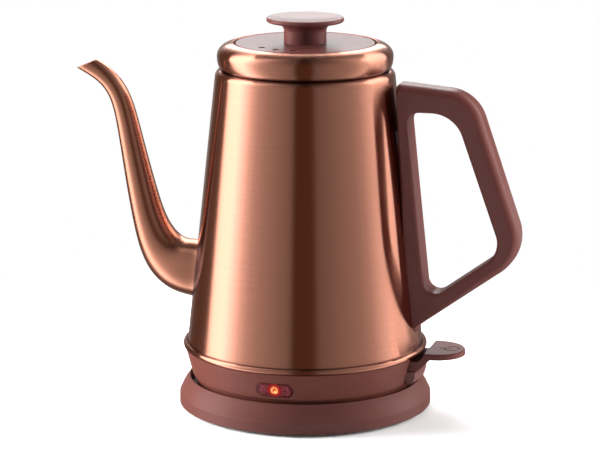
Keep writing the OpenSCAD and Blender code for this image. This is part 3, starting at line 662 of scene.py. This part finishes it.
spout_path = relax(smooth_path(spout_points, spout_steps), spout_rows, relax_rows)
spout_way = np.gradient(spout_path[:, :2], axis=0)
spout_way /= np.hypot(*spout_way.T)[:, None]
spout_length = lengths(spout_path)
spout_turn = full_turn(spout_sides)


def spout_rings(rows, depth, advance=0):
    """Circles across the centre line, depth under the outer face and advance beyond their place: a point
    at angle a is the centre + normal r cos a + Y r sin a. The end shears onto the lip's slant, and the
    root leans onto the flank, fading over root_blend."""
    centre, way, length = spout_path[rows, :2], spout_way[rows], spout_length[rows]
    flare = weld_flare * np.exp(-length / weld_width) * (depth == 0)
    r = (spout_path[rows, 2] + flare - depth)[:, None]
    rise, side = r * np.cos(spout_turn), r * np.sin(spout_turn)
    to_lip = np.clip((length - spout_length[-1] + root_blend) / root_blend, 0, 1)[:, None] ** 3
    shear = advance - lip_slant * to_lip * rise
    x = centre[:, :1] + way[:, 1:] * rise + way[:, :1] * shear
    z = centre[:, 1:] - way[:, :1] * rise + way[:, 1:] * shear
    lean = -np.sqrt((flank_r(z) + 0.02) ** 2 - side ** 2) - x
    fade = np.clip(1 - length / root_blend, 0, 1)[:, None] ** 2
    return np.stack([x + (lean[:1] if rows[0] == 0 else lean[-1:]) * fade, side, z], -1)


outer_rows = np.arange(len(spout_path))
lip_turn = np.linspace(0, np.pi, 7)[1:-1]
lip = [spout_rings(outer_rows[-1:], sheet / 2 * (1 - np.cos(t)), sheet / 2 * np.sin(t))
       for t in lip_turn]
spout_grid = np.concatenate([spout_rings(outer_rows, 0), *lip, spout_rings(outer_rows[::-1], sheet)])
polished_copper = brushed_copper("satin_copper_steel", "#e3997d", 0.27, 14, 0, 0)
make_piece("spout_tube", spout_grid, polished_copper, "kettle", ["spout"], sharp=50)

# Kettle: trim ring ----------------------------------------------------------
# A rolled bead of the same sheet that hides the joint of body and skirt.
trim_r = 1.7
trim_ring_r = 66.1
trim_z = 35.2
trim_steps = 28
turn = full_turn(trim_steps)
bead_line = np.stack([trim_ring_r + trim_r * np.cos(turn), trim_z + trim_r * np.sin(turn)], -1)
make_piece("trim_bead", revolve(bead_line, body_sides), body_copper, "kettle",
           ["trim_ring"])

# Kettle: floor, heater and control --------------------------------------------
# The hidden parts keep their built shape: a stainless floor and steam tube, an aluminium plate with
# the steel-clad element in it, the nylon control with brass contacts, and plated posts and screws.
stainless_steel = plain_material("stainless_steel", "#b8b8b4", 0.3, metallic=1)
dress(stainless_steel, "floor_plate", "steam_tube", "heating_element")
dress(plain_material("rolled_aluminium", "#a9adb2", 0.35, metallic=1), "heat_spreader")
dress(dark_plastic_and_painted_shade, "kettle_control")
dress(brass, "kettle_contacts")
dress(plated_steel, "mount_posts", "skirt_screws")

# Kettle: skirt and steam switch ---------------------------------------------
# The satin moulded skirt under the body, with the lamp's window and the switch's notch, and the
# steam control's rounded front in that notch. Both are the built parts with their edges eased, as
# they come out of a mould. The skirt steps in at its foot, which leaves a dark joint over the base.
skirt_top_r = 66.7
skirt_top_z = 33.4
skirt_lean = np.radians(15)
foot_step = 1
foot_step_z = 18.9
foot_z = 5
# How far past the skirt the cut at its foot reaches
foot_clear = 5
# The switch's ears lie past ear_y and end at ear_top_z, where they get painted shade
ear_y = 15.9
ear_top_z = 26
edge_angle = np.radians(30)


def ease_edges(name, node, ease_mm, material, kept_crisp=None):
    """Stands for a built node: faces joined where they are level, edges rounded, and normals led by the
    large faces. kept_crisp takes an edge's two ends in mm and tells the edges that stay as they are."""
    built = frame["nodes"][node]
    work = bmesh.new()
    work.from_mesh(built.data)
    bmesh.ops.remove_doubles(work, verts=work.verts, dist=2e-6)
    bmesh.ops.dissolve_limit(work, angle_limit=np.radians(0.5), verts=work.verts, edges=work.edges)
    weights = work.edges.layers.float.new("bevel_weight_edge")
    for edge in work.edges:
        ends = [np.array(v.co) / MM for v in edge.verts]
        edge[weights] = edge.calc_face_angle(0) > edge_angle and not (kept_crisp and kept_crisp(*ends))
    mesh = bpy.data.meshes.new(name)
    work.to_mesh(mesh)
    work.free()
    mesh.shade_smooth()
    mesh.set_sharp_from_angle(angle=edge_angle)
    mesh.materials.append(material)
    piece = link(name, mesh)
    ease = piece.modifiers.new("ease", "BEVEL")
    ease.width = ease_mm * MM
    ease.segments = 3
    ease.limit_method = "WEIGHT"
    level = piece.modifiers.new("level", "WEIGHTED_NORMAL")
    level.keep_sharp = True
    level.weight = 90
    apply_modifiers(piece)
    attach(piece, built["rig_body"])
    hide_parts(node)
    return piece


satin_plastic = moulded_plastic("satin_polypropylene", "#5a3029", "#5e352e", 0.36, 0.15, 0.5, 0.012)
# The steam switch is the skirt's brown made lighter: painted light, for the light that falls on it from the
# right
pod_plastic_with_painted_light = moulded_plastic("pod_polypropylene_with_painted_light", "#6b403b", "#714641", 0.36, 0.5, 0.5, 0.012)
skirt = ease_edges("skirt", "kettle_skirt", 0.25, satin_plastic)
step_r = [skirt_top_r - (skirt_top_z - z) * np.tan(skirt_lean) - foot_step for z in (foot_z, foot_step_z)]
clear_r = skirt_top_r + foot_clear
step_line = [(step_r[0], foot_z), (step_r[1], foot_step_z), (clear_r, foot_step_z), (clear_r, foot_z)]
cut(skirt, revolve(step_line, body_sides).reshape(-1, 3),
    grid_quads(len(step_line), body_sides, True, True).tolist())
pod = ease_edges("steam_switch", "switch_housing", 0.3, pod_plastic_with_painted_light).data
# Painted shade: the faces of the switch's ears, low in the notch, take the dark nylon in place of the pod's
# brown to stand for the shadow they lie in
pod.materials.append(dark_plastic_and_painted_shade)
for face in pod.polygons:
    face.material_index = int(abs(face.center.y) > ear_y * MM and face.center.z < ear_top_z * MM)
# The lever's pin and the disc that snaps over in the steam are bright steel
dress(stainless_steel, "switch_pin", "snap_disc")

# Kettle: lamp ---------------------------------------------------------------
# A clear red polycarbonate pill clipped into the skirt: a round dome over the neon lamp, whose
# light shows as a bright ring with a hot middle, and a field of dimples to either side.
lamp_z = 24.2
lens_width = 20.3
lens_height = 7.8
lens_proud = 0.25
lens_depth = 2
dome_r = 4.6
dome_sunk = 2.75
dimple_pitch = 1.05
dimple_depth = 0.14
plate_round = 0.3
# The dimples start this far from the middle and from the rim, and rise to full depth over field_ease
field_start = 4.3
field_margin = 0.9
field_ease = (0.3, 0.4)
lens_rings = 56
lens_arc_steps = 59
lens_colour = "#42060b"
# Colour of the painted glints on the dimples
painted_glint_colour = "#8c4249"
# Light by distance from the lamp's middle in mm, uneven by wobble in all
glow_reach = 10
wobble = 1.4
wobble_mm = 1.1
lamp_light = [(0, (0.7, 0.09, 0.02, 1)), (1, (0.75, 0.1, 0.02, 1)), (1.4, (0.9, 0.28, 0.08, 1)),
              (1.65, (1, 0.62, 0.26, 1)), (1.9, (1, 0.45, 0.13, 1)), (2.25, (0.45, 0.02, 0.004, 1)),
              (2.7, (0.22, 0.003, 0.002, 1)), (3.2, (0.36, 0.006, 0.005, 1)),
              (3.6, (0.12, 0.001, 0.002, 1)), (4.4, (0.02, 0, 0.001, 1)), (10, (0.01, 0, 0.001, 1))]
# Share of the fields of dimples by the same distance, where the painted glints go
glint_field_share = [(3.7, (0, 0, 0, 1)), (4.3, (1, 1, 1, 1)), (8, (1, 1, 1, 1)), (8.6, (0, 0, 0, 1))]
field_half_height = (3, 2.4)
dot_mm = 0.75
# Middle of the lamp's hot end, and the distances from it where its light starts and is full
hot_spot = (0.5, -0.9)
spot_r = (0.95, 0.35)
spot_light = (1, 0.72, 0.22, 1)

# Outline of the pill at full size, and rings of it that shrink onto its middle line
half_straight = (lens_width - lens_height) / 2
outline = soften([(x * lens_width / 2, y * lens_height / 2, lens_height / 2 - 0.01)
                  for x, y in ((1, 1), (-1, 1), (-1, -1), (1, -1))], lens_arc_steps)
middle = np.stack([np.clip(outline[:, 0], -half_straight, half_straight), 0 * outline[:, 0]], -1)
share = np.linspace(0, 1, lens_rings)[:, None, None]
flat = middle + (outline - middle) * share
# Front height over the skirt: proud plate with a round edge, dome, and dimples in two fields
edge = (1 - share[..., 0]) * lens_height / 2
height = lens_proud - plate_round * np.clip(1 - edge / plate_round, 0, 1) ** 2
from_middle = np.hypot(flat[..., 0], flat[..., 1])
dome = np.sqrt(np.clip(dome_r ** 2 - from_middle ** 2, 0, None)) - dome_sunk
dimple = (np.cos(2 * np.pi * flat[..., 0] / dimple_pitch) * np.cos(2 * np.pi * flat[..., 1] / dimple_pitch)
          * np.clip((from_middle - field_start) / field_ease[0], 0, 1)
          * np.clip((edge - field_margin) / field_ease[1], 0, 1))
height = np.maximum(height, dome) + dimple_depth * dimple


def on_skirt(x, y, rise):
    """Wraps a flat point round the skirt: angle = x / radius from -Y, height y, radius grown by rise."""
    z = lamp_z + y
    r = skirt_top_r - (skirt_top_z - z) * np.tan(skirt_lean)
    turned = x / r
    return np.stack([(r + rise) * np.sin(turned), -(r + rise) * np.cos(turned), z], -1)


# The plain back needs only every eighth ring
front_face = on_skirt(flat[..., 0], flat[..., 1], height)
back_face = on_skirt(flat[::-8, :, 0], flat[::-8, :, 1], 0 * flat[::-8, :, 0] - lens_depth)
lens_grid = np.concatenate([front_face, back_face])
lens_red, tree, shader = start_material("red_polycarbonate", lens_colour, Roughness=0.14, IOR=1.58)
place = add_node(tree, "ShaderNodeTexCoord", {}).outputs["Object"]
# Distance from the lamp's line, so that the glow lies in rings on the dome
flat_place = add_node(tree, "ShaderNodeVectorMath", {0: place, 1: (1, 0, 1), 2: (0, 0, -lamp_z * MM)},
                      operation="MULTIPLY_ADD")
away = add_node(tree, "ShaderNodeVectorMath", {0: flat_place.outputs[0]}, operation="LENGTH")
wobbly = add_node(tree, "ShaderNodeMath", {0: noise(tree, place, wobble_mm, 2), 1: wobble * MM,
                                           2: away.outputs["Value"]}, operation="MULTIPLY_ADD")
heat = add_node(tree, "ShaderNodeMapRange", {"Value": wobbly.outputs[0], "From Min": wobble / 2 * MM,
                                            "From Max": (wobble / 2 + glow_reach) * MM})
glow = add_node(tree, "ShaderNodeValToRGB", {0: heat.outputs[0]})
set_ramp(glow, [(distance / glow_reach, light) for distance, light in lamp_light])
# The hot end of the lamp shows as a spot just off the middle
off_middle = add_node(tree, "ShaderNodeVectorMath", {0: flat_place.outputs[0],
                                                    1: (-hot_spot[0] * MM, 0, -hot_spot[1] * MM)})
off_middle = add_node(tree, "ShaderNodeVectorMath", {0: off_middle.outputs[0]}, operation="LENGTH")
spot = add_node(tree, "ShaderNodeMapRange", {"Value": off_middle.outputs["Value"], "From Min": spot_r[0] * MM,
                                            "From Max": spot_r[1] * MM})
glow = mix_colours(tree, spot.outputs[0], glow.outputs[0], spot_light)
tree.links.new(glow, shader.inputs["Emission Color"])
shader.inputs["Emission Strength"].default_value = 1
# Painted glints: pale dots of painted reflection over the two fields of dimples make them look paler than the
# clear rim and dome
field = add_node(tree, "ShaderNodeValToRGB", {0: heat.outputs[0]})
set_ramp(field, [(distance / glow_reach, grey) for distance, grey in glint_field_share])
up = add_node(tree, "ShaderNodeSeparateXYZ", {0: flat_place.outputs[0]})
up = add_node(tree, "ShaderNodeMath", {0: up.outputs["Z"]}, operation="ABSOLUTE")
inside = add_node(tree, "ShaderNodeMapRange", {"Value": up.outputs[0],
                                              "From Min": field_half_height[0] * MM,
                                              "From Max": field_half_height[1] * MM})
dots = add_node(tree, "ShaderNodeTexVoronoi", {"Vector": place, "Scale": 1 / (dot_mm * MM)})
dots = add_node(tree, "ShaderNodeMapRange", {"Value": dots.outputs["Distance"], "From Min": 0.15,
                                            "From Max": 0.6, "To Min": 0.95, "To Max": 0.1})
glint_share = field.outputs[0]
for share in (inside, dots):
    glint_share = add_node(tree, "ShaderNodeMath", {0: glint_share, 1: share.outputs[0]}, operation="MULTIPLY").outputs[0]
tint = mix_colours(tree, glint_share, linear(lens_colour), linear(painted_glint_colour))
tree.links.new(tint, shader.inputs["Base Color"])
make_piece("lens", lens_grid, lens_red, "kettle", ["lamp_lens"], wrap_rows=False)
bulb_glow, tree, shader = start_material("neon_glow", "#ffb070", Roughness=0.2)
shader.inputs["Emission Color"].default_value = linear("#ff9a4a")
shader.inputs["Emission Strength"].default_value = 2
dress(bulb_glow, "lamp_bulb")
dress(dark_plastic_and_painted_shade, "lamp_holder")

# Handle ---------------------------------------------------------------------
# A solid D-shaped moulding that lies along the flank. Its palm side is well rounded, and its faces
# fall away in a broad bevel to the finger hole. Two steel clips and a screw hold it.
# Corners (x, z, radius) of the palm side and of the finger hole, in the same order
palm_corners = [(52, 183.8, 3), (95.3, 180.1, 22), (125.5, 92.8, 24), (57, 43, 3)]
hole_corners = [(58.8, 168.4, 6), (84.9, 168.4, 18), (111.6, 93.7, 13), (70, 63.6, 6.5)]
handle_half = 9.5
palm_r = 7
palm_turn = np.radians(54)
palm_edge_r = 1.5
finger_round = 2.5
facet_drop = 0.7
handle_steps = 24
handle_edge = 16
section_steps = 9


def with_edges(outline):
    """Cuts the straight stretch after each corner's arc into equal parts."""
    arcs = outline.reshape(4, handle_steps + 1, 2)
    parts = np.arange(1, handle_edge)[:, None] / handle_edge
    after = np.roll(arcs, -1, axis=0)
    return np.concatenate([np.concatenate([arc, arc[-1] + (later[0] - arc[-1]) * parts])
                           for arc, later in zip(arcs, after)])


palm_line = with_edges(soften(palm_corners, handle_steps))
hole_line = with_edges(soften(hole_corners, handle_steps))
across = hole_line - palm_line
width = np.hypot(*across.T)
quarter = np.linspace(0, np.pi / 2, section_steps)
# Section of the bar as (distance in from the palm side, half width), for every place along it: a wide
# rounding, then a tight one into the face
wide, tight = np.linspace(0, palm_turn, section_steps), np.linspace(palm_turn, np.pi / 2, 6)[1:]
palm_flat = handle_half - palm_edge_r * (1 - np.sin(palm_turn)) - palm_r * np.sin(palm_turn)
edge_x = palm_r + (palm_edge_r - palm_r) * np.cos(palm_turn)
near = np.concatenate([
    np.stack([palm_r * (1 - np.cos(wide)), palm_flat + palm_r * np.sin(wide)], -1),
    np.stack([edge_x - palm_edge_r * np.cos(tight), handle_half - palm_edge_r * (1 - np.sin(tight))], -1)])
far = np.stack([finger_round * (1 - np.cos(quarter)), handle_half - finger_round * (1 - np.sin(quarter))], -1)
flat = np.array([(0, 0), (0, palm_flat / 2)])
ridge = np.stack([width / 2, handle_half + 0 * width], -1)
palm_half = np.concatenate([flat, near])
front = np.concatenate([np.broadcast_to(palm_half, (len(width), *palm_half.shape)), ridge[:, None],
                        np.stack([width[:, None] - far[::-1, 0],
                                  np.broadcast_to(far[::-1, 1] - facet_drop, (len(width), len(far)))], -1),
                        np.stack([width, 0 * width], -1)[:, None]], 1)
section = np.concatenate([front, front[:, -2:0:-1] * (1, -1)], 1)
place_xz = palm_line[:, None] + across[:, None] * (section[..., :1] / width[:, None, None])
on_flank = np.sqrt((flank_r(place_xz[..., 1]) + 0.05) ** 2 - section[..., 1] ** 2)
handle_grid = np.stack([np.maximum(place_xz[..., 0], on_flank), section[..., 1], place_xz[..., 1]], -1)
handle_plastic = moulded_plastic("handle_polypropylene", "#5a2b26", "#60302b", 0.34, 0.45, 0.5, 0.008)
make_piece("handle_grip", handle_grid, handle_plastic, "kettle", ["handle"], sharp=40)
dress(stainless_steel, "handle_hook", "handle_anchor")
dress(plated_steel, "handle_screw")

# Switch lever ---------------------------------------------------------------
# One moulding: barrel, block and arm, and the half-round paddle with a power mark sunk in it.
mark_x = 83.5
mark_reach = 8.5
paddle_top_z = 36.4


def in_mark(*ends):
    """Tells the edges of the sunk mark: within mark_reach of its middle, at or just under the top face."""
    return all(np.hypot(x - mark_x, y) < mark_reach and z > paddle_top_z - 0.5 for x, y, z in ends)


ease_edges("lever", "switch_lever", 0.3, handle_plastic, in_mark)

# Lid ------------------------------------------------------------------------
# A rounded ring of copper-toned sheet holds a moulded disc with three steam vents. The knob is
# screwed on from below, and a steel pan with a silicone ring closes the mouth.
lid_foot_z = 189.2
lid_foot_r = 45.8
lid_bulge_z = 196.2
lid_r = 48.2
lid_top_z = 203.2
groove_r = 38.9
ledge_z = 200
lid_wall = 0.8
lid_lap = 2
# From the foot over the bulge into the groove of the disc, and back down the inside
lid_line = np.concatenate([
    [(lid_foot_r - lid_lap, lid_foot_z)],
    oval((lid_foot_r, lid_bulge_z), (lid_r - lid_foot_r, lid_bulge_z - lid_foot_z), -90, 0),
    oval((groove_r, lid_bulge_z), (lid_r - groove_r, lid_top_z - lid_bulge_z), 4, 88, 24),
    bulge((groove_r + 0.25, lid_top_z), (groove_r, lid_top_z - 0.3), 0.3, 4),
    [(groove_r, ledge_z), (groove_r - lid_lap, ledge_z), (groove_r - lid_lap, ledge_z - lid_wall),
     (groove_r + lid_wall, ledge_z - lid_wall)],
    oval((groove_r, lid_bulge_z), (lid_r - groove_r - lid_wall, lid_top_z - lid_bulge_z - lid_wall), 84, 0),
    oval((lid_foot_r, lid_bulge_z), (lid_r - lid_foot_r - lid_wall, lid_bulge_z - lid_foot_z - lid_wall),
         0, -90),
    [(lid_foot_r - lid_lap, lid_foot_z + lid_wall)]])
make_piece("lid_shell", revolve(lid_line, body_sides), body_copper, "lid", ["lid_ring"])

knob_r = 21.2
neck_r = 11.6
neck_top_z = 209.7
knob_top_z = 217.2
knob_rim = 2.7
knob_lip = 2.5
knob_dish = 1.2
knob_sides = 192
# From the disc up the waisted neck, round the rim, and over the dished top
knob_line = np.concatenate([
    [(0, lid_top_z + 0.02), (neck_r + 0.3, lid_top_z + 0.02), (neck_r + 0.05, lid_top_z + 0.25),
     (neck_r, lid_top_z + 0.6)],
    oval((knob_r - knob_lip, neck_top_z),
         (knob_r - knob_lip - neck_r, knob_top_z - neck_top_z - knob_rim), 180, 90, 20),
    oval((knob_r - knob_rim / 2, knob_top_z - knob_rim / 2), (knob_rim / 2, knob_rim / 2), -90, 90, 14),
    np.stack([np.linspace(knob_r - knob_lip, 0, 12),
              knob_top_z - knob_dish * (1 - np.linspace(1, 0, 12) ** 2)], -1)])
knob_plastic = moulded_plastic("knob_polypropylene", "#582f2c", "#5e3531", 0.3, 0.35, 0.5, 0.006)
make_piece("knob", revolve(knob_line, knob_sides), knob_plastic, "lid", ["lid_knob"],
           wrap_rows=False)
ease_edges("disc", "lid_disc", 0.2, knob_plastic)
dress(plated_steel, "knob_screw")
dress(stainless_steel, "lid_liner")
dress(plain_material("silicone_rubber", "#d8d2c8", 0.5), "lid_seal")
